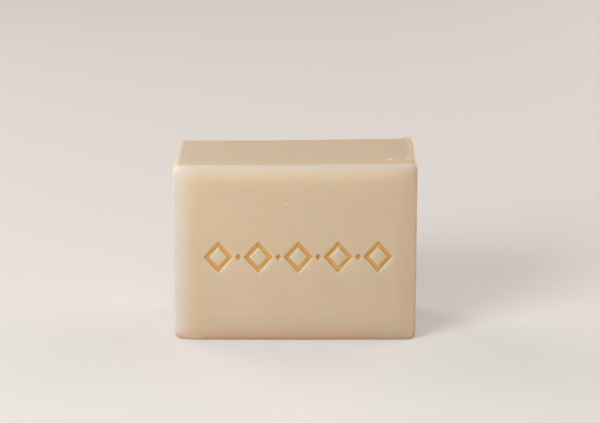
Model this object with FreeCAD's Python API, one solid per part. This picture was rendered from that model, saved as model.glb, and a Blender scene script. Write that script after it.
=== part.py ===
"""Pressed bar of shaving soap, one solid, standing on its long narrow side.

The bar is what leaves a two-part die: a straight-sided belt all round, and on each side of it
a pressed face that rolls up from a narrow parting edge to a level field. The roll is wide along
the top and the left-hand end and tight along the foot and the right-hand end. The front face
carries a stamped row of lozenge rings and dots with tapered walls. The right-hand end of the
top is lifted where the bar dragged out of the die, and ends in a small torn nib.

Frame: +X along the bar, +Y from the front face to the back face, +Z up. The origin is at the
middle of the resting side. Millimetres.
"""
import FreeCAD
import Part
import math
import os

from FreeCAD import Vector

# ---- driving dimensions --------------------------------------------------------------------

bar_length = 75.0           # X, over both ends of the belt
bar_height = 55.6           # Z, resting side to the level front edge of the top
bar_depth = 35.8            # Y, over both pressed faces

face_rise = 2.4             # how far each pressed face stands out from its parting edge
roll_left = 6.0             # how far in from that edge it levels out, on each side of the bar
roll_top = 5.5
roll_foot = 0.7
roll_right = 0.7
roll_bend = 0.375           # where a roll's parabola bends, as a share of its width
parting_setback = 0.6       # how far the softened parting edge reaches along the belt
corner_left = 2.0           # radii of the belt's corners, seen from the front
corner_right = 1.6
corner_gain = 3.0           # the level field's corners are rounder by this much

drag_lift = 0.75            # rise of the top at the back of the right-hand end
front_lift = 0.5            # and at its front
drag_flare = 0.4            # lean of the right-hand end outwards at the lifted back corner
left_lean = 0.3             # lean of the left-hand end inwards towards the back
nib_height = 0.4            # torn nib above the lifted corner
nib_radius = 1.8            # of its round top
nib_from_end = 2.5          # nib's middle to the right-hand end
nib_from_edge = 0.9         # nib's middle to the belt's back parting edge

lozenge_width = 9.0         # over a ring, along the bar
lozenge_height = 10.2       # over a ring, up the face
stroke_width = 1.35         # of a ring's groove at the surface
dot_width = 1.9             # of the lozenge dot between two rings
dot_height = 2.3
dot_gap = 0.675             # from a dot to the ring on each side of it
row_margin = 7.5            # least distance from the row to either end of the bar
row_shift = 0.8             # row's middle, to the right of the bar's middle
row_drop = 0.8              # row's middle, below the front face's middle
stamp_depth = 0.6           # below the front face's level field
stamp_draft = 12.0          # degrees, taper of the stamped walls

# ---- worked out from them ------------------------------------------------------------------

half_length = bar_length / 2.0
half_depth = bar_depth / 2.0
belt_half = half_depth - face_rise          # Y of each parting edge
belt_radii = (corner_left, corner_right, corner_right, corner_left)
lozenge_pitch = lozenge_width + dot_width + 2.0 * dot_gap
row_room = bar_length - 2.0 * row_margin
lozenge_count = int((row_room + lozenge_pitch - lozenge_width) / lozenge_pitch)
row_level = bar_height / 2.0 - row_drop     # Z of the row's middle

roll_start = parting_setback / (2.0 * face_rise)    # the softened edge's part of the roll
edge_spans = 2                              # lofted spans over the softened edge
roll_spans = 5                              # and along the rest of the roll


def rounded_wire(corners, radii):
    """Closed outline through the corners, each one rounded by a tangent arc of its own radius."""
    arcs = []
    for index, (corner, radius) in enumerate(zip(corners, radii)):
        before = (corners[index - 1] - corner).normalize()
        after = (corners[(index + 1) % len(corners)] - corner).normalize()
        half_angle = before.getAngle(after) / 2.0
        inward = (before + after).normalize()
        setback = radius / math.tan(half_angle)
        crest = corner + inward * (radius / math.sin(half_angle) - radius)
        arcs.append((corner + before * setback, crest, corner + after * setback))
    edges = []
    for index, (start, crest, end) in enumerate(arcs):
        edges.append(Part.Arc(start, crest, end).toShape())
        edges.append(Part.LineSegment(end, arcs[(index + 1) % len(arcs)][0]).toShape())
    return Part.Wire(edges)


def outline(y, share):
    """The bar's outline at depth y, drawn in by a share of the roll's width on each side.

    The lift and both leans change evenly from the front parting edge to the back one.
    """
    back = min(max((y + belt_half) / (2.0 * belt_half), 0.0), 1.0)
    left = left_lean * back - half_length + roll_left * share
    right_foot = half_length - drag_flare - roll_right * share
    right_top = right_foot + drag_flare * back
    foot = roll_foot * share
    top_left = bar_height - roll_top * share
    top_right = top_left + front_lift + (drag_lift - front_lift) * back
    corners = [
        Vector(left, y, foot),
        Vector(right_foot, y, foot),
        Vector(right_top, y, top_right),
        Vector(left, y, top_left),
    ]
    radii = [radius + corner_gain * share for radius in belt_radii]
    return rounded_wire(corners, radii)


def belt_side(front_edge, back_edge):
    """Side of the belt between two matching edges: a plane where they share one, else ruled."""
    ruled = Part.makeRuledSurface(front_edge, back_edge)
    if ruled.findPlane() is None:
        return ruled
    return Part.Face(Part.Wire(Part.sortEdges(ruled.Edges)[0]))


def parabola(start, bend, end, t):
    """Point at t on the parabola from start to end whose two end tangents meet at the bend."""
    return [a * (1 - t) ** 2 + 2 * b * t * (1 - t) + c * t**2 for a, b, c in zip(start, bend, end)]


def roll_point(t):
    """Share of the roll's width and rise above the parting edge, from 0 there to 1 at the field."""
    return parabola((0.0, 0.0), (roll_bend, face_rise), (1.0, face_rise), t)


def softened_edge():
    """The parabola in place of the parting edge: its start on the belt, bend, and end on the roll.

    The bend lies where the roll's tangent at the end meets the belt, so there is no corner.
    """
    share, rise = roll_point(roll_start)
    share_rate = 2.0 * (1.0 - 2.0 * roll_start) * roll_bend + 2.0 * roll_start
    rise_rate = 2.0 * (1.0 - roll_start) * face_rise
    bend_rise = rise - share * rise_rate / share_rate
    return (0.0, bend_rise - parting_setback), (0.0, bend_rise), (share, rise)


def belt():
    """The straight-sided belt between the two softened parting edges."""
    belt_end = belt_half + softened_edge()[0][1]
    front = outline(-belt_end, 0.0)
    back = outline(belt_end, 0.0)
    faces = [belt_side(*pair) for pair in zip(front.Edges, back.Edges)]
    shell = Part.makeShell(faces + [Part.Face(front), Part.Face(back)])
    shell.sewShape()
    return Part.makeSolid(shell)


def lofted(side, sections):
    """Smooth loft through sections, each a share of the roll's width and a rise."""
    wires = [outline(side * (belt_half + rise), share) for share, rise in sections]
    return Part.makeLoft(wires, True, False)


def pressed_face(side):
    """Softened edge and roll of one face: side is -1 for the front and 1 for the back."""
    edge = [parabola(*softened_edge(), step / edge_spans) for step in range(edge_spans + 1)]
    rest = 1.0 - roll_start
    roll = [roll_point(roll_start + rest * step / roll_spans) for step in range(roll_spans + 1)]
    return [lofted(side, edge), lofted(side, roll)]


def torn_nib():
    """Small ball sunk in the lifted corner, with only its round top left standing."""
    centre = Vector(
        half_length - nib_from_end,
        belt_half - nib_from_edge,
        bar_height + drag_lift + nib_height - nib_radius,
    )
    return Part.makeSphere(nib_radius, centre, Vector(0, 1, 0))


def lozenge_plug(centre_x, width, height, taper):
    """Four-sided plug pressed into the front face.

    The width and height are its size at the surface, and the taper is how far each of its
    points draws in by the stamp's floor. A negative taper spreads it instead.
    """
    above = stamp_depth / 2.0
    mouth_y = -half_depth - above
    floor_y = -half_depth + stamp_depth
    wires = []
    for y, share in ((mouth_y, -above / stamp_depth), (floor_y, 1.0)):
        half_wide = width / 2.0 - taper * share
        half_tall = (height / 2.0) * half_wide / (width / 2.0)
        points = [
            Vector(centre_x - half_wide, y, row_level),
            Vector(centre_x, y, row_level - half_tall),
            Vector(centre_x + half_wide, y, row_level),
            Vector(centre_x, y, row_level + half_tall),
        ]
        wires.append(Part.makePolygon(points + points[:1]))
    return Part.makeLoft(wires, True, True)


def stamp():
    """The row of lozenge rings with a dot between each two, as the tool that presses them."""
    wall_draw = stamp_depth * math.tan(math.radians(stamp_draft))
    slant = math.hypot(lozenge_width, lozenge_height)
    point_draw = wall_draw * slant / lozenge_height
    point_stroke = stroke_width * slant / lozenge_height
    core_width = lozenge_width - 2.0 * point_stroke
    core_height = lozenge_height * core_width / lozenge_width
    dot_draw = wall_draw * math.hypot(dot_width, dot_height) / dot_height
    tools = []
    for index in range(lozenge_count):
        x = row_shift + (index - (lozenge_count - 1) / 2.0) * lozenge_pitch
        ring = lozenge_plug(x, lozenge_width, lozenge_height, point_draw)
        core = lozenge_plug(x, core_width, core_height, -point_draw)
        tools.append(ring.cut(core))
        if index < lozenge_count - 1:
            dot_x = x + lozenge_pitch / 2.0
            tools.append(lozenge_plug(dot_x, dot_width, dot_height, dot_draw))
    return Part.makeCompound(tools)


def soap_bar():
    """Belt, both pressed faces and the nib as one solid, with the stamp cut into the front."""
    body = belt().multiFuse(pressed_face(-1) + pressed_face(1)).removeSplitter()
    return body.fuse(torn_nib()).cut(stamp())


def main():
    os.makedirs("parts", exist_ok=True)
    shape = soap_bar()
    box = shape.optimalBoundingBox(True, False)
    print("solids", len(shape.Solids), "valid", shape.isValid(), "cm3", shape.Volume / 1000.0)
    print("box", box.XMin, box.XMax, box.YMin, box.YMax, box.ZMin, box.ZMax)
    shape.exportStep("parts/soap_bar.step")


main()
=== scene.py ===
"""Pressed bar of cream shaving soap, standing on its long narrow side on a plain pale floor.

The bar is one closed skin of patches that share their borders: the wrap (front roll, belt and
back roll, carried round the bar's outline), the front field with its stamped row of lozenge rings
and dots, and the plain back field. Metres. +X runs along the bar, -Y out of its front face and
+Z up from the resting side.
"""
import itertools
import math

import bmesh
import bpy
import numpy as np
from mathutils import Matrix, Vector


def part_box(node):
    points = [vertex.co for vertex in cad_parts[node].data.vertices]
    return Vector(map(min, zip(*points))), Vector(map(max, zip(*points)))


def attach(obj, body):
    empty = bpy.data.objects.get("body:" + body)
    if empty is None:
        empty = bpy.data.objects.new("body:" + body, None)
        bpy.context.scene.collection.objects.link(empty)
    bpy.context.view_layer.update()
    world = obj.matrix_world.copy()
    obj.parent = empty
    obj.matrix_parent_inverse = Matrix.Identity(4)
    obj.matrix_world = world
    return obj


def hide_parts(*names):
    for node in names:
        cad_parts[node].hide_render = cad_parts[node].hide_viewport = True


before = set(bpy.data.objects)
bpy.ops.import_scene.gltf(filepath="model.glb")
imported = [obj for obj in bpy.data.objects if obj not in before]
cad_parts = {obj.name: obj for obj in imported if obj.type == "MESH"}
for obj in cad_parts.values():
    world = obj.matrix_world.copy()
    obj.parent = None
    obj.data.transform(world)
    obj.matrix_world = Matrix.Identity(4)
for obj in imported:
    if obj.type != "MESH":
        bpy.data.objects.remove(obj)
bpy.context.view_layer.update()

# ---- sizes of the bar ----------------------------------------------------------------------

low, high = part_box("soap_bar")
HALF_LENGTH = -low.x
HALF_DEPTH = high.y
FACE_RISE = 0.0024              # each pressed face stands out this far from its parting edge
ROLL_LEFT = 0.006               # and levels out this far in from it, on each side
ROLL_TOP = 0.0055
ROLL_FOOT = 0.0007
ROLL_RIGHT = 0.0007
ROLL_BEND = 0.375               # where a roll's parabola bends, as a share of its width
PARTING_SETBACK = 0.0006        # softening of the parting edges, to each side
CORNER_LEFT = 0.002             # corner radii of the belt, seen from the front
CORNER_RIGHT = 0.0016
CORNER_GAIN = 0.003             # the level fields' corners are rounder by this much
DRAG_LIFT = 0.00075             # the right-hand end of the top is pulled up at the back
FRONT_LIFT = 0.0005             # and at the front
DRAG_FLARE = 0.0004             # and leans out at the back
LEFT_LEAN = 0.0003              # the left-hand end leans in towards the back
DRAG_FROM = -0.014              # X where that pull begins
DRAG_BEND = 1.5                 # how it gathers towards the end
NIB_HEIGHT = 0.0004             # torn nib on the lifted corner
NIB_INWARD = 0.0025             # from the right-hand end
NIB_FORWARD = 0.0009            # from the back parting edge
NIB_SPREAD = (0.0038, 0.0022)   # half its foot, along the bar and across it
BELT_HALF = HALF_DEPTH - FACE_RISE
BAR_HEIGHT = high.z - DRAG_LIFT - NIB_HEIGHT
END_X = HALF_LENGTH - DRAG_FLARE

CROWN = 0.0005                  # a field's corner lies this far behind its middle
SWELL_DEPTH = 0.00006           # slow hollows over the whole skin
SWELL_SIZE = 0.011
SWELL_SEED = 2
SWELL_FROM = (0.0004, 0.004)    # Z over which they come in above the resting side
RAG_DEPTH = 0.00016             # ragged drag marks along the right-hand end of the top
RAG_SIZE = (0.0009, 0.0022, 0.002)
RAG_FINER = 2.3                 # finer ones lie over the coarse ones, this much smaller
RAG_SHARES = (0.6, 0.4)         # coarse and fine
RAG_SEEDS = (5, 6)
RAG_WIDTH = 0.0034              # of the strip that they lie in
RAG_FADE = 0.4                  # share of that width over which the strip fades out
RAG_BELOW_TOP = (0.006, 0.002)  # it comes in over these depths below the top
RAG_BEHIND_FRONT = (0.002, 0.007)       # and these distances behind the front parting edge
RAG_BEFORE_BACK = (0.001, 0.003)        # the marks fade out before the back one
TOP_BAND = (0.003, 0.0005)      # the nib and the chips come in over these depths below the top
CHIPS = (                       # chips of soap stuck to the top: X, Y, half width, height
    (0.0291, -0.0106, 0.0009, 0.00030),
    (0.0343, -0.0098, 0.0007, 0.00020),
    (0.0363, -0.0040, 0.0006, 0.00022),
)
CHIP_DEPTH = 1.1                # half a chip's depth, as a share of half its width

# ---- painted highlights on the edges, and the pale chips and crumbs --------------------------

EDGE_LIGHT_BY_WAY = (                       # painted highlight on the rolls, by the way they face in degrees
    (-135, 0.45), (-100, 0), (0, 0), (45, 0.45), (90, 0.71), (120, 1), (180, 1), (225, 0.45),
)
EDGE_LIGHT_FADE = (1.3, 2.2)         # power of its fade up a roll, at the ends and along the top
EDGE_LIGHT_BLEED = 0.0007            # it runs out this far to each side of the parting edge
CORNER_LIGHT = 0.45             # weaker painted highlight on the belt's upper left corner
CORNER_LIGHT_IN = (0.0044, 0.0012)      # over these distances from the left-hand end
CORNER_LIGHT_DOWN = (0.008, 0.001)      # and these depths below the top
FOOT_LIGHT_BY_WAY = (                   # painted highlight along the foot's edge, by the way it faces in degrees
    (-135, 0.1), (-110, 0.4), (-90, 0.5), (-60, 0.6), (-45, 0.7), (-15, 0.3), (0, 0),
    (215, 0), (225, 0.1),
)
FOOT_LIGHT_SHARE = 0.7                # share of the roll's width at which that painted highlight is whole
PALE_CHIPS = (0.0014, 0.0011)   # reach of the pale patch round each of the first chips
PALE_CHIP_RISE = 0.0005         # its middle's height above the top
CRUMBS = (                      # pale crumbs pressed into the front: X, Z, reach
    (-0.0030, 0.0439, 0.0004),
    (0.0115, 0.0135, 0.0003),
)
CRUMB_SINK = 0.0001             # their middles lie this far behind the face

# ---- the stamped row -------------------------------------------------------------------------

LOZENGE = (0.009, 0.0102)       # over a ring, along the bar and up the face
DOT = (0.0019, 0.0023)
DOT_GAP = 0.000675
STROKE = 0.00135
STAMP_DEPTH = 0.0006
STAMP_DRAFT = math.radians(12)  # taper of a groove's walls
WALL_DRAW = STAMP_DEPTH * math.tan(STAMP_DRAFT)
MOUTH_SETBACK = 0.00013         # softening of a groove's mouth
FLOOR_SETBACK = 0.00016         # and of its floor's corners
LIP = 0.0002                    # level strip kept beside each groove
LIP_WAY = math.radians(45)      # the lips with the most painted highlight are those on the lower right
LIP_REACH = 0.0026              # how far out from a groove the painted highlight reaches
LIP_SHARE = 0.75                # how strong that painted highlight is
LIP_LEAST = 0.3                 # and the least share of that, on the other lips
WALL_MOUTH = 0.0001             # a wall's painted light and shade comes in over this much to each side of the mouth
WALL_FOOT = (0.00045, 0.00025)  # and fades out between these distances in from it
DOT_FLOOR = 0.0005              # a dot's floor is drawn this far in before it closes
POINT_RADIUS = {LOZENGE: 0.00028, DOT: 0.00014}
LOZENGE_COUNT = 5
ROW_SHIFT = 0.0008              # row's middle, to the right of the bar's middle
ROW_DROP = 0.0008               # and below it
ROW_MIDDLE = (ROW_SHIFT, BAR_HEIGHT / 2 - ROW_DROP)
CELL_HALF_HEIGHT = 0.0062

# ---- how finely the skin is divided ----------------------------------------------------------

RING_STEPS = 24                 # columns over a ring's cell
DOT_STEPS = 6                   # and over a dot's
SIDE_STEPS = 40                 # columns up the row, and up each end of the bar
ARC_STEPS = 6                   # over half a corner of the bar
POINT_STEPS = 3                 # over half a point of a lozenge
CROWD = 0.5                     # how much closer columns and rows lie near corners
ROLL_ROWS = 14
PARTING_ROWS = 5
BELT_ROWS = 70
FIELD_ROWS = 12
CELL_ROWS = 8                   # from a cell's rectangle to its lozenge
CELL_CROWD = 2.2                # power that draws them together near the lozenge
CLOSING_ROWS = 5                # from the lozenge's section to its middle
LATTICE = 16                    # random values to a side, for the lumps
WELD = 1e-6
MARKS = ("stamped", "edge_bloom", "worn_edge", "lip_highlight", "wall_light_and_shade")


def eased(steps, crowd=CROWD):
    """Shares 0 to 1 in the given steps, closer at both ends: s - crowd sin(2 pi s) / (2 pi)."""
    share = np.linspace(0, 1, steps + 1)
    return share - crowd * np.sin(2 * np.pi * share) / (2 * np.pi)


def blend(start, end, share):
    return start + (end - start) * share


def parabola(start, bend, end, t):
    """Points at t on the parabola from start to end whose two end tangents meet at the bend."""
    return (1 - t) ** 2 * start + 2 * t * (1 - t) * bend + t**2 * end


def stations(side_ways, corner_ways, run_steps, arc_steps):
    """Column places round a four-sided outline, starting at the middle of its first corner.

    Each side is half an arc, a straight run and half an arc. A column has its side's number, how
    far it is along the run, and the way it faces, in degrees.
    """
    sides, along, ways = [], [], []
    for side, way in enumerate(side_ways):
        steps = run_steps[side % 2]
        sides.append(np.full(steps + 2 * arc_steps, side))
        along.append(np.zeros(arc_steps))
        along.append(eased(steps)[:-1])
        along.append(np.ones(arc_steps))
        ways.append(np.linspace(corner_ways[side], way, arc_steps, endpoint=False))
        ways.append(np.full(steps, way))
        ways.append(np.linspace(way, corner_ways[side + 1], arc_steps, endpoint=False))
    return np.concatenate(sides), np.concatenate(along), np.radians(np.concatenate(ways))


def outline(corners, radii, places):
    """Rounded outline: the polygon of corner centres pushed outwards by the corner radii.

    A point is the centre polygon's point at the column's share of its side, plus the radius there
    times the way the column faces. Corners hold X and Z of the four centres for every row.
    """
    sides, along, ways = places
    following = (sides + 1) % 4
    centre = blend(corners[..., sides], corners[..., following], along)
    radius = blend(radii[:, sides], radii[:, following], along)
    return centre + radius * np.stack((np.cos(ways), np.sin(ways)))[:, None, :]


def bar_outline(share):
    """The bar's outline, drawn in by the given shares of the rolls' widths.

    It comes as X, Z and the way each column faces.
    """
    share = np.asarray(share, float)[:, None]
    radii = np.array((CORNER_LEFT, CORNER_RIGHT, CORNER_RIGHT, CORNER_LEFT)) + CORNER_GAIN * share
    left, right = -HALF_LENGTH + ROLL_LEFT * share, END_X - ROLL_RIGHT * share
    foot, top = ROLL_FOOT * share, BAR_HEIGHT - ROLL_TOP * share
    x = np.concatenate((left, right, right, left), 1) + radii * (1, -1, -1, 1)
    z = np.concatenate((foot, foot, top, top), 1) + radii * (1, 1, -1, -1)
    long_run = LOZENGE_COUNT * RING_STEPS + (LOZENGE_COUNT - 1) * DOT_STEPS - 2 * ARC_STEPS
    short_run = SIDE_STEPS - 2 * ARC_STEPS
    places = stations((-90, 0, 90, 180), (-135, -45, 45, 135, 225), (long_run, short_run), ARC_STEPS)
    return *outline(np.stack((x, z)), radii, places), places[2]


def wrap_profile():
    """Share of the rolls' widths and Y of each row of the wrap, from the front field to the back.

    A roll is a parabola from the parting edge to the field, and a smaller one softens that edge.
    The smaller one bends where the roll's tangent meets the belt.
    """
    start = PARTING_SETBACK / (2 * FACE_RISE)
    t = np.linspace(1, start, ROLL_ROWS + 1)
    share = parabola(0, ROLL_BEND, 1, t)
    rise = parabola(0, FACE_RISE, FACE_RISE, t)
    share_rate = 2 * (1 - 2 * start) * ROLL_BEND + 2 * start
    rise_rate = 2 * (1 - start) * FACE_RISE
    bend = rise[-1] - share[-1] * rise_rate / share_rate
    turn = np.linspace(0, 1, PARTING_ROWS + 1)[1:]
    share = np.concatenate((share, parabola(share[-1], 0, 0, turn)))
    depth = np.concatenate((rise, parabola(rise[-1], bend, bend - PARTING_SETBACK, turn))) + BELT_HALF
    belt_y = blend(-depth[-1], depth[-1], eased(BELT_ROWS))[1:-1]
    shares = np.concatenate((share, 0 * belt_y, share[::-1]))
    return shares, np.concatenate((-depth, belt_y, depth[::-1]))


def patch(x, y, z, closed=True, **marks):
    """One patch of the skin: its points row by row, its quads, and its marks at every point."""
    rows, columns = x.shape
    points = np.stack(np.broadcast_arrays(x, y, z), -1).reshape(-1, 3)
    held = {name: np.broadcast_to(marks.get(name, 0.0), x.shape).ravel() for name in MARKS}
    index = np.arange(rows * columns).reshape(rows, columns)
    if closed:
        index = np.concatenate((index, index[:, :1]), 1)
    quads = np.stack((index[:-1, :-1], index[:-1, 1:], index[1:, 1:], index[1:, :-1]), -1)
    return points, quads.reshape(-1, 4), held


def by_way(ways, table):
    """Value for the way each column faces: straight lines between a table's degrees and values."""
    return np.interp(np.degrees(ways), *zip(*table))


def wrap():
    """Front roll, belt and back roll, with painted highlights on the rolls and along the foot's edge.

    On a roll the painted highlight is (1 - share)^n, where n is higher along the top than at the
    ends. It is none on the foot and the right-hand end, and it comes up over the softened parting
    edge. A weaker one lies on the belt's upper left corner. The foot's painted highlight lies on
    the outer part of the roll.
    """
    shares, ys = wrap_profile()
    x, z, ways = bar_outline(shares)
    shares, ys = shares[:, None], ys[:, None]
    fade = blend(*EDGE_LIGHT_FADE, np.clip(np.sin(ways), 0, 1))
    outside = smooth_step(np.abs(ys), BELT_HALF - EDGE_LIGHT_BLEED, BELT_HALF + EDGE_LIGHT_BLEED)
    on_roll = (1 - shares) ** fade * outside * by_way(ways, EDGE_LIGHT_BY_WAY)
    on_corner = smooth_step(x + HALF_LENGTH, *CORNER_LIGHT_IN)
    on_corner *= CORNER_LIGHT * smooth_step(BAR_HEIGHT - z, *CORNER_LIGHT_DOWN)
    worn = smooth_step(shares, 1, FOOT_LIGHT_SHARE) * outside * by_way(ways, FOOT_LIGHT_BY_WAY)
    return patch(x, ys, z, edge_bloom=np.maximum(on_roll, on_corner), worn_edge=worn)


def cell_plan():
    """Middle X, half width, columns and lozenge size of each cell of the row, left to right."""
    ring_half = (LOZENGE[0] + DOT_GAP) / 2
    dot_half = (DOT[0] + DOT_GAP) / 2
    cells = []
    for place in range(2 * LOZENGE_COUNT - 1):
        x = ROW_MIDDLE[0] + (place - LOZENGE_COUNT + 1) * (ring_half + dot_half)
        if place % 2:
            cells.append((x, dot_half, DOT_STEPS, DOT))
        else:
            cells.append((x, ring_half, RING_STEPS, LOZENGE))
    return cells


def row_edges():
    """X of every column line along the row, and Z of every one up it."""
    cells = cell_plan()
    counts = np.cumsum([0] + [steps for _, _, steps, _ in cells])
    edges = [cells[0][0] - cells[0][1]] + [x + half for x, half, _, _ in cells]
    along = np.interp(np.arange(counts[-1] + 1), counts, edges)
    up = ROW_MIDDLE[1] + np.linspace(-CELL_HALF_HEIGHT, CELL_HALF_HEIGHT, SIDE_STEPS + 1)
    return along, up


def field_border():
    """The row's rectangle, column by column from its lower left corner, as X and Z."""
    along, up = row_edges()
    x = np.concatenate((along[:-1], np.full(SIDE_STEPS, along[-1])))
    x = np.concatenate((x, along[:0:-1], np.full(SIDE_STEPS, along[0])))
    z = np.concatenate((np.full(len(along) - 1, up[0]), up[:-1]))
    z = np.concatenate((z, np.full(len(along) - 1, up[-1]), up[:0:-1]))
    return x, z


def field_margin(side):
    """Level field between the roll and the row's rectangle: straight blends from one to the other."""
    x, z, _ = bar_outline([1.0])
    inner_x, inner_z = field_border()
    share = np.linspace(0, 1, FIELD_ROWS + 1)[:, None]
    return patch(blend(x, inner_x, share), side * HALF_DEPTH, blend(z, inner_z, share))


def back_middle():
    """Plain middle of the back field: a level grid over the same rectangle."""
    along, up = row_edges()
    x, z = np.meshgrid(along, up)
    return patch(x, HALF_DEPTH, z, closed=False)


def eased_path(corners, setbacks, run_steps=2, turn_steps=4):
    """Straight runs between corners, with a parabola in place of each inner corner.

    The parabola starts and ends one setback away from its corner.
    """
    corners = np.array(corners)
    spans = np.diff(corners, axis=0)
    heading = spans / np.linalg.norm(spans, axis=1)[:, None]
    t = np.linspace(0, 1, turn_steps, endpoint=False)[:, None]
    path, leave = [], corners[0]
    for corner, into, out, setback in zip(corners[1:-1], heading, heading[1:], setbacks):
        enter = corner - into * setback
        path.append(np.linspace(leave, enter, run_steps, endpoint=False))
        leave = corner + out * setback
        path.append(parabola(enter, corner, leave, t))
    path.append(np.linspace(leave, corners[-1], run_steps + 1))
    return np.concatenate(path).T


def ring_section():
    """Across a ring's groove: distance in from its outer edge, and depth."""
    corners = (
        (-LIP, 0), (0, 0), (WALL_DRAW, STAMP_DEPTH),
        (STROKE - WALL_DRAW, STAMP_DEPTH), (STROKE, 0), (STROKE + LIP, 0),
    )
    return eased_path(corners, (MOUTH_SETBACK, FLOOR_SETBACK, FLOOR_SETBACK, MOUTH_SETBACK))


def dot_section():
    """Across a dot's recess from outside its edge to short of its middle."""
    corners = ((-LIP, 0), (0, 0), (WALL_DRAW, STAMP_DEPTH), (DOT_FLOOR, STAMP_DEPTH))
    return eased_path(corners, (MOUTH_SETBACK, FLOOR_SETBACK))


def edge_marks(reach, towards):
    """Painted highlight on the lip and painted light and shade on the wall along one edge of a groove,
    by distance in from that edge.

    The highlight lies outside the edge, mostly where it faces the given way. The wall's mark is -1
    there, painted shade on a wall that faces the main lamp, and 1 on the wall opposite, painted light
    that stands in for light which soaks through the soap and comes out.
    """
    lip = smooth_step(reach, -LIP_REACH, 0) * smooth_step(reach, WALL_DRAW, 0)
    wall = smooth_step(reach, -WALL_MOUTH, WALL_MOUTH) * smooth_step(reach, *WALL_FOOT)
    return lip * np.clip(blend(LIP_LEAST, 1, towards), 0, 1), -wall * towards


def lozenge_cell(middle_x, half_width, steps, size):
    """One cell of the row, as rows that shrink from its rectangle to its middle.

    First straight blends from the rectangle to the lozenge, then the section carried round the
    lozenge, where a distance d inwards scales it by 1 - d / h and h is the lozenge's own half
    width square to a side. Last come rows that close on the middle.
    """
    half = np.array(size) / 2
    across = half[0] * half[1] / np.hypot(*half)
    radius = POINT_RADIUS[size]
    distance, depth = ring_section() if size is LOZENGE else dot_section()
    scale = 1 - (distance + radius) / across
    none = 0 * scale
    corners = np.stack((
        np.stack((half[0] * scale, none, -half[0] * scale, none), 1),
        np.stack((none, half[1] * scale, none, -half[1] * scale), 1),
    ))
    slope = math.degrees(math.atan2(half[0], half[1]))
    side_ways = (slope, 180 - slope, 180 + slope, 360 - slope)
    run = (steps + SIDE_STEPS) // 2 - 2 * POINT_STEPS
    places = stations(side_ways, (0, 90, 180, 270, 360), (run, run), POINT_STEPS)
    x, z = outline(corners, np.full((len(scale), 4), radius), places)
    knots = np.cumsum([0] + [SIDE_STEPS // 2, steps // 2, steps // 2, SIDE_STEPS // 2] * 2)
    column = np.arange(knots[-1])
    border_x = half_width * np.interp(column, knots, (1, 1, 0, -1, -1, -1, 0, 1, 1))
    border_z = CELL_HALF_HEIGHT * np.interp(column, knots, (0, 1, 1, 1, 0, -1, -1, -1, 0))
    outside = 1 - np.linspace(1, 0, CELL_ROWS, endpoint=False)[:, None] ** CELL_CROWD
    inside = np.linspace(1, 0, CLOSING_ROWS + 1)[1:, None]
    x = np.concatenate((blend(border_x, x[0], outside), x, x[-1] * inside))
    z = np.concatenate((blend(border_z, z[0], outside), z, z[-1] * inside))
    depth = np.concatenate((0 * outside[:, 0], depth, 0 * inside[:, 0] + depth[-1]))
    reach = across * (1 - np.abs(x) / half[0] - np.abs(z) / half[1])
    lower_right = np.cos(places[2] + LIP_WAY)
    lip, wall = edge_marks(reach, lower_right)
    inner_lip, inner_wall = edge_marks(STROKE - reach, -lower_right)
    marks = {
        "stamped": depth[:, None] / STAMP_DEPTH,
        "lip_highlight": LIP_SHARE * (lip + inner_lip),
        "wall_light_and_shade": wall + inner_wall,
    }
    return patch(x + middle_x, -HALF_DEPTH, z + ROW_MIDDLE[1], **marks)


def lumps(points, size, seed):
    """Smooth random heights from 0 to 1: a lattice of random values with smoothstep between."""
    table = np.random.default_rng(seed).random((LATTICE, LATTICE, LATTICE))
    scaled = points / np.array(size)
    cell = np.floor(scaled).astype(int)
    part = scaled - cell
    fade = part * part * (3 - 2 * part)
    height = np.zeros(len(points))
    for corner in itertools.product((0, 1), repeat=3):
        i, j, k = ((cell + corner) % LATTICE).T
        height += table[i, j, k] * np.prod(np.where(corner, fade, 1 - fade), axis=1)
    return height


def smooth_step(value, start, end):
    t = np.clip((value - start) / (end - start), 0, 1)
    return t * t * (3 - 2 * t)


def mound(x, y, middle, spread):
    """Round-topped mound: (1 - d^2)^2 inside its foot, where d is the distance in feet."""
    d2 = ((x - middle[0]) / spread[0]) ** 2 + ((y - middle[1]) / spread[1]) ** 2
    return np.clip(1 - d2, 0, None) ** 2


def end_strip(points):
    """How much a point belongs to the ragged strip along the right-hand end of the top, 0 to 1."""
    x, y, z = points.T
    near_end = smooth_step(END_X - x, RAG_WIDTH, RAG_WIDTH * (1 - RAG_FADE))
    on_top = smooth_step(BAR_HEIGHT - z, *RAG_BELOW_TOP)
    behind = smooth_step(y + BELT_HALF, *RAG_BEHIND_FRONT)
    return near_end * on_top * behind


def crowned(points):
    """The faces drawn in towards their corners.

    The draw is CROWN / 2 times the share of the rise times the squared distance from the face's
    middle, counted in half sizes of the bar.
    """
    x, y, z = points.T
    off = (x / HALF_LENGTH) ** 2 + (2 * z / BAR_HEIGHT - 1) ** 2
    risen = np.clip(np.abs(y) - BELT_HALF, 0, None) / FACE_RISE
    return np.stack((x, y - np.sign(y) * risen * CROWN * np.clip(off, 0, 2) / 2, z), 1)


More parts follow.
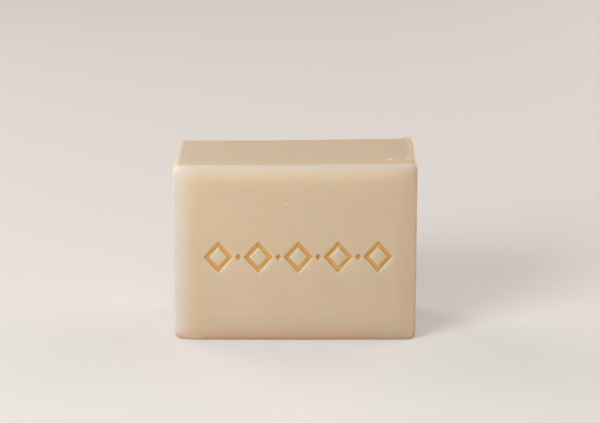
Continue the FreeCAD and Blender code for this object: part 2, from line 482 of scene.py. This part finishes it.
def hollowed(points, strip):
    """The skin drawn in by slow lumps all over and by ragged ones in the end strip.

    A point moves straight towards the nearest point of a smaller box inside the bar.
    """
    middle = np.array((0, 0, BAR_HEIGHT / 2))
    inner = np.array((HALF_LENGTH, HALF_DEPTH, BAR_HEIGHT / 2)) - ROLL_TOP
    facing = (points - middle) - np.clip(points - middle, -inner, inner)
    facing /= np.linalg.norm(facing, axis=1)[:, None]
    coarse = lumps(points, RAG_SIZE, RAG_SEEDS[0])
    fine = lumps(points, np.array(RAG_SIZE) / RAG_FINER, RAG_SEEDS[1])
    ragged = RAG_SHARES[0] * coarse + RAG_SHARES[1] * fine
    ragged *= strip * smooth_step(BELT_HALF - points[:, 1], *RAG_BEFORE_BACK)
    drawn = SWELL_DEPTH * lumps(points, SWELL_SIZE, SWELL_SEED) + RAG_DEPTH * ragged
    drawn *= smooth_step(points[:, 2], *SWELL_FROM)
    return points - facing * drawn[:, None]


def dragged(points):
    """The bar as it left the die, with the nib and the chips on its top.

    The pull is the share of the way from DRAG_FROM to the right-hand end, to the power DRAG_BEND,
    times the share of the height. It lifts the end, more at the back, and leans it out towards
    the back. The left-hand end leans in towards the back.
    """
    x, y, z = points.T
    back = np.clip((y + BELT_HALF) / (2 * BELT_HALF), 0, 1)
    pull = np.clip((x - DRAG_FROM) / (END_X - DRAG_FROM), 0, 1) ** DRAG_BEND * z / BAR_HEIGHT
    top = smooth_step(BAR_HEIGHT - z, *TOP_BAND)
    nib_foot = (HALF_LENGTH - NIB_INWARD - DRAG_FLARE, BELT_HALF - NIB_FORWARD)
    lift = blend(FRONT_LIFT, DRAG_LIFT, back) * pull
    lift += NIB_HEIGHT * top * mound(x, y, nib_foot, NIB_SPREAD)
    for chip_x, chip_y, half, height in CHIPS:
        lift += height * top * mound(x, y, (chip_x, chip_y), (half, CHIP_DEPTH * half))
    lean = LEFT_LEAN * back * np.clip(-x / HALF_LENGTH, 0, 1)
    return np.stack((x + DRAG_FLARE * back * pull + lean, y, z + lift), 1)


def soap_skin():
    """All patches as one closed mesh, with their marks and the end strip as attributes."""
    patches = [wrap(), field_margin(-1), field_margin(1), back_middle()]
    patches += [lozenge_cell(*cell) for cell in cell_plan()]
    points = np.concatenate([each[0] for each in patches])
    starts = np.cumsum([0] + [len(each[0]) for each in patches[:-1]])
    quads = np.concatenate([each[1] + start for each, start in zip(patches, starts)])
    marks = {name: np.concatenate([each[2][name] for each in patches]) for name in MARKS}
    marks["end_strip"] = end_strip(points)
    settled = dragged(hollowed(crowned(points), marks["end_strip"]))
    settled[:, 1] += marks["stamped"] * STAMP_DEPTH
    mesh = bpy.data.meshes.new("soap_bar_skin")
    mesh.from_pydata(settled.tolist(), [], quads.tolist())
    for name, values in marks.items():
        mesh.attributes.new(name, "FLOAT", "POINT").data.foreach_set("value", values)
    work = bmesh.new()
    work.from_mesh(mesh)
    bmesh.ops.remove_doubles(work, verts=work.verts, dist=WELD)
    bmesh.ops.recalc_face_normals(work, faces=work.faces)
    work.to_mesh(mesh)
    work.free()
    mesh.shade_smooth()
    piece = bpy.data.objects.new("pressed_soap_bar", mesh)
    bpy.context.collection.objects.link(piece)
    return piece


# ---- finishes --------------------------------------------------------------------------------

CREAM = (0.587, 0.485, 0.349, 1)
CREAM_DEEP = (0.572, 0.468, 0.331, 1)
WARM = (0.565, 0.45, 0.322, 1)          # painted shade: the top darker and warmer, but for its left-hand end
DULL = (0.515, 0.415, 0.305, 1)         # painted shade on the right-hand edge of the front, and on the foot
HONEY = (0.59, 0.31, 0.155, 1)          # painted shade on the foot's lowest part, warmed as by light thrown up from the floor
EDGE_HIGHLIGHT_PALE = (0.445, 0.468, 0.48, 1)          # painted highlight on the rolls
FOOT_HIGHLIGHT_PALE = (0.84, 0.7, 0.55, 1)             # painted highlight along the foot's edge
CHALK_AND_LIGHT = (0.62, 0.54, 0.43, 1)           # flour on the ragged strip, and painted light where it runs over the right-hand top corner
LIP_HIGHLIGHT_PALE = (0.56, 0.5, 0.425, 1)            # painted highlight on the lips beside the grooves
CRUMB = (0.74, 0.66, 0.55, 1)           # pale chips and crumbs
AMBER = (0.62, 0.378, 0.112, 1)         # painted shade in the grooves, amber on their floors
GLOW = (0.76, 0.57, 0.19, 1)            # painted light on their walls that face away from the main lamp
DEEP_AMBER = (0.52, 0.37, 0.17, 1)      # and painted shade on those that face it

TINTS = (                       # colour, most of it, power of its first stretch, two stretches
    # painted shade on the top
    (WARM, 0.85, 1, (("Z", BAR_HEIGHT - 0.0007, BAR_HEIGHT), ("X", -0.034, -0.004))),
    # painted shade towards the right-hand edge of the front
    (DULL, 1, 1, (("Y", -0.0125, -0.016), ("X", 0.030, 0.037))),
    # painted shade, darker towards the bottom
    (DULL, 0.7, 1, (("Z", 0.0085, 0.002), ("X", -0.036, -0.024))),
    # warm painted shade on the foot's lowest part
    (HONEY, 1, 1.8, (("Z", 0.005, 0), ("X", 0.036, 0.022))),
)
CLOUD = (90, 4)                 # scale and detail of each noise
GRAIN = (1400, 3)
DRAG_LINES = (420, 2)
SHEEN = (260, 3)
FLOUR = (900, 3)
CRUMBLE = (1300, 2)
CLOUD_BAND = (0.35, 0.65)       # stretch of each noise that is used
SHEEN_BAND = (0.3, 0.7)
FLOUR_BAND = (0.4, 0.62)
CRUMBLE_BAND = (0.35, 0.65)
CRUMBLE_SPREAD = (0.6, 1.7)     # how much nearer or farther a speck's outline wanders
SPECK_HEART = 0.2               # share of a speck's reach that is wholly pale
GROOVE_DEEP = 0.45              # share of the stamp's depth at which the amber is whole
SHADE_MOST = 0.8                # most of the painted shade on a wall that faces the main lamp
DRAG_STRETCH = (0.12, 1, 1)     # the drag lines run along the bar
GRAIN_SHARE = 0.35              # of the grain in the relief, beside the drag lines
RELIEF = (0.25, 0.00012)        # strength and height
SHEEN_RANGE = (0.44, 0.56)      # roughness of the skin
SOAK = (0.8, 0.5, 0.25)         # how far red, green and blue light soak in, in soak depths
SOAK_DEPTH = 0.010
SOAP_IOR = 1.46


class Finish:
    """A material's node tree, with short ways to add nodes and join them."""

    def __init__(self, name):
        self.material = bpy.data.materials.new(name)
        self.material.use_nodes = True
        self.tree = self.material.node_tree
        self.shader = self.tree.nodes["Principled BSDF"]
        self.place = self.node("ShaderNodeTexCoord").outputs["Object"]

    def node(self, kind, inputs=(), **settings):
        made = self.tree.nodes.new(kind)
        for name, value in settings.items():
            setattr(made, name, value)
        self.give(made, inputs)
        return made

    def give(self, node, inputs):
        """Sets each named input of a node: a socket is joined to it, anything else is its value."""
        for socket, value in dict(inputs).items():
            if isinstance(value, bpy.types.NodeSocket):
                self.tree.links.new(value, node.inputs[socket])
            else:
                node.inputs[socket].default_value = value

    def noise(self, scale, detail, stretch=(1, 1, 1)):
        held = self.node("ShaderNodeMapping", {"Vector": self.place, "Scale": stretch})
        inputs = {"Vector": held.outputs[0], "Scale": scale, "Detail": detail}
        return self.node("ShaderNodeTexNoise", inputs).outputs[0]

    def attribute(self, name):
        return self.node("ShaderNodeAttribute", attribute_name=name).outputs["Fac"]

    def ranged(self, value, start, end, low=0.0, high=1.0):
        keys = ("Value", "From Min", "From Max", "To Min", "To Max")
        return self.node("ShaderNodeMapRange", zip(keys, (value, start, end, low, high))).outputs[0]

    def band(self, axis, start, end):
        """How far a point is from one place along an axis of the bar to another, 0 to 1."""
        split = self.node("ShaderNodeSeparateXYZ", {0: self.place})
        return self.ranged(split.outputs[axis], start, end)

    def speck(self, place, reach):
        """Crumb about a place on the piece: 1 at its middle and 0 past its uneven outline."""
        away = self.node("ShaderNodeVectorMath", {0: self.place, 1: place}, operation="DISTANCE")
        uneven = self.ranged(self.noise(*CRUMBLE), *CRUMBLE_BAND, *CRUMBLE_SPREAD)
        away = self.math("MULTIPLY", away.outputs["Value"], uneven)
        return self.ranged(away, reach, SPECK_HEART * reach)

    def math(self, operation, *values):
        return self.node("ShaderNodeMath", enumerate(values), operation=operation).outputs[0]

    def mixed(self, share, first, second):
        inputs = {0: share, 6: first, 7: second}
        return self.node("ShaderNodeMix", inputs, data_type="RGBA").outputs[2]


def pale_specks():
    """Place and reach of each pale speck: on the first chips of the top, then on the front."""
    specks = []
    for (x, y, _, _), reach in zip(CHIPS, PALE_CHIPS):
        specks.append(((x, y, BAR_HEIGHT + PALE_CHIP_RISE), reach))
    for x, z, reach in CRUMBS:
        specks.append(((x, CRUMB_SINK - HALF_DEPTH, z), reach))
    return specks


def skin_colour(soap):
    """Clouded cream with its tints of painted shade, then the painted highlights on the rolls and
    along the foot, the ragged strip, pale in part as painted light, the painted highlight on the
    lips and the specks.
    """
    cloud = soap.ranged(soap.noise(*CLOUD), *CLOUD_BAND)
    colour = soap.mixed(cloud, CREAM_DEEP, CREAM)
    for tint, most, power, (first, second) in TINTS:
        share = soap.math("MULTIPLY", soap.math("POWER", soap.band(*first), power), soap.band(*second))
        colour = soap.mixed(soap.math("MULTIPLY", share, most), colour, tint)
    # painted highlight on the rolls and the belt's upper left corner
    colour = soap.mixed(soap.attribute("edge_bloom"), colour, EDGE_HIGHLIGHT_PALE)
    # painted highlight along the foot's edge
    colour = soap.mixed(soap.attribute("worn_edge"), colour, FOOT_HIGHLIGHT_PALE)
    flour = soap.ranged(soap.noise(*FLOUR), *FLOUR_BAND)
    flour = soap.math("MULTIPLY", soap.attribute("end_strip"), flour)
    # flour on the ragged strip; over the right-hand top corner its paleness is painted light
    colour = soap.mixed(flour, colour, CHALK_AND_LIGHT)
    # painted highlight on the lips beside the grooves
    colour = soap.mixed(soap.attribute("lip_highlight"), colour, LIP_HIGHLIGHT_PALE)
    for place, reach in pale_specks():
        colour = soap.mixed(soap.speck(place, reach), colour, CRUMB)
    return colour


def stamped_colour(soap, skin):
    """Amber painted shade inside the grooves, with painted light on the walls that face away from
    the main lamp and deeper painted shade on those that face it.
    """
    glow = soap.attribute("wall_light_and_shade")
    amber = soap.mixed(soap.ranged(glow, 0, 1), AMBER, GLOW)
    # amber painted shade in the grooves
    colour = soap.mixed(groove(soap), skin, amber)
    return soap.mixed(soap.ranged(glow, 0, -1, 0, SHADE_MOST), colour, DEEP_AMBER)


def groove(soap):
    """1 inside the grooves and 0 on the skin, with the change high up the walls."""
    return soap.ranged(soap.attribute("stamped"), 0, GROOVE_DEEP)


def sheen(soap):
    """Roughness: satin skin, matt grooves and lips."""
    skin = soap.ranged(soap.noise(*SHEEN), *SHEEN_BAND, *SHEEN_RANGE)
    matt = soap.math("MAXIMUM", soap.attribute("lip_highlight"), groove(soap))
    return soap.math("MAXIMUM", skin, matt)


def relief(soap):
    """Fine grain and faint drag lines along the bar, as bump."""
    lines = soap.noise(*DRAG_LINES, stretch=DRAG_STRETCH)
    height = soap.math("MULTIPLY_ADD", soap.noise(*GRAIN), GRAIN_SHARE, lines)
    inputs = {"Height": height, "Strength": RELIEF[0], "Distance": RELIEF[1]}
    return soap.node("ShaderNodeBump", inputs).outputs[0]


def milled_soap():
    """Waxy cream soap that light soaks into."""
    soap = Finish("milled_cream_soap")
    soap.give(soap.shader, {
        "Base Color": stamped_colour(soap, skin_colour(soap)),
        "Roughness": sheen(soap),
        "Normal": relief(soap),
        "IOR": SOAP_IOR,
        "Subsurface Weight": 1.0,
        "Subsurface Radius": SOAK,
        "Subsurface Scale": SOAK_DEPTH,
    })
    return soap.material


# ---- studio ----------------------------------------------------------------------------------

FLOOR_SEEN = (0.4, 0.386, 0.368, 1)
FLOOR_GLOW = (0.3, 0.288, 0.275, 1)     # keeps the seen floor pale, and is dark to the soap
FLOOR_THROWN = (0.42, 0.3, 0.21, 1)     # colour of what the floor throws back on the soap
DARK = (0, 0, 0, 1)
FLOOR_HALF = 2.5

LAMP_WHITE = (1, 1, 1)
LAMP_ROSE = (1, 0.86, 0.81)
LAMP_CREAM = (1, 0.9, 0.86)
LAMPS = (                       # azimuth, elevation, distance, size, power, colour
    ("window_side", -40, 28, 0.77, 0.36, 7.15, LAMP_WHITE),
    ("behind_left", -130, 36, 0.8, 0.4, 2.9, LAMP_ROSE),
    ("far_side", 108, 24, 0.9, 0.5, 3.4, LAMP_CREAM),
    ("behind_right", 140, 12, 1.0, 0.36, 3.5, LAMP_CREAM),
    ("above_front", 0, 50, 0.8, 0.4, 1.1, LAMP_WHITE),
)
AIR_COLOUR = (1.0, 0.97, 0.93, 1)
AIR_STRENGTH = 0.04
LENS = 142.07
CAMERA_PLACE = (0.0013, -BELT_HALF - 0.6954, 0.24027)
CAMERA_DOWN = 15.994            # degrees that it looks downwards


def pale_floor():
    """Plain pale floor. It shows pale, and what it throws back on the soap is warmer and deeper."""
    floor = Finish("plain_pale_floor")
    path = floor.node("ShaderNodeLightPath").outputs
    seen = floor.math("MAXIMUM", path["Is Camera Ray"], path["Is Glossy Ray"])
    seen = floor.math("MAXIMUM", seen, path["Is Transmission Ray"])
    floor.give(floor.shader, {
        "Base Color": floor.mixed(seen, FLOOR_THROWN, FLOOR_SEEN),
        "Emission Color": floor.mixed(seen, DARK, FLOOR_GLOW),
        "Emission Strength": 1.0,
        "Roughness": 0.9,
        "Specular IOR Level": 0.2,
    })
    return floor.material


def studio_floor():
    """Level square floor at the resting side."""
    mesh = bpy.data.meshes.new("studio_floor")
    corners = [(-1, -1, 0), (1, -1, 0), (1, 1, 0), (-1, 1, 0)]
    mesh.from_pydata((np.array(corners) * FLOOR_HALF).tolist(), [], [(0, 1, 2, 3)])
    mesh.materials.append(pale_floor())
    floor = bpy.data.objects.new("studio_floor", mesh)
    bpy.context.collection.objects.link(floor)


def soft_lamp(name, azimuth, elevation, distance, size, power, colour):
    """Square soft lamp aimed at the bar's middle. Azimuth 0 is in front, positive to the right."""
    around, up = math.radians(azimuth), math.radians(elevation)
    level = math.cos(up)
    away = Vector((math.sin(around) * level, -math.cos(around) * level, math.sin(up)))
    lamp = bpy.data.lights.new(name, "AREA")
    lamp.size = size
    lamp.energy = power
    lamp.color = colour
    holder = bpy.data.objects.new(name, lamp)
    holder.location = Vector((0, 0, BAR_HEIGHT / 2)) + away * distance
    holder.rotation_euler = (-away).to_track_quat("-Z", "Y").to_euler()
    bpy.context.collection.objects.link(holder)


def studio_air():
    """Faint warm light from all round."""
    world = bpy.data.worlds.new("studio_air")
    bpy.context.scene.world = world
    world.use_nodes = True
    air = world.node_tree.nodes["Background"]
    air.inputs["Color"].default_value = AIR_COLOUR
    air.inputs["Strength"].default_value = AIR_STRENGTH


def camera():
    """Long lens a little above the bar, almost square to its front face."""
    data = bpy.data.cameras.new("camera")
    data.lens = LENS
    data.sensor_width = 36
    data.clip_start = 0.05
    data.clip_end = 20
    holder = bpy.data.objects.new("camera", data)
    holder.location = CAMERA_PLACE
    holder.rotation_euler = (math.radians(90 - CAMERA_DOWN), 0, 0)
    bpy.context.collection.objects.link(holder)
    bpy.context.scene.camera = holder


def main():
    bpy.context.scene.view_settings.view_transform = "Standard"
    piece = soap_skin()
    piece.data.materials.append(milled_soap())
    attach(piece, "root")
    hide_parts("soap_bar")
    studio_floor()
    for lamp in LAMPS:
        soft_lamp(*lamp)
    studio_air()
    camera()


main()
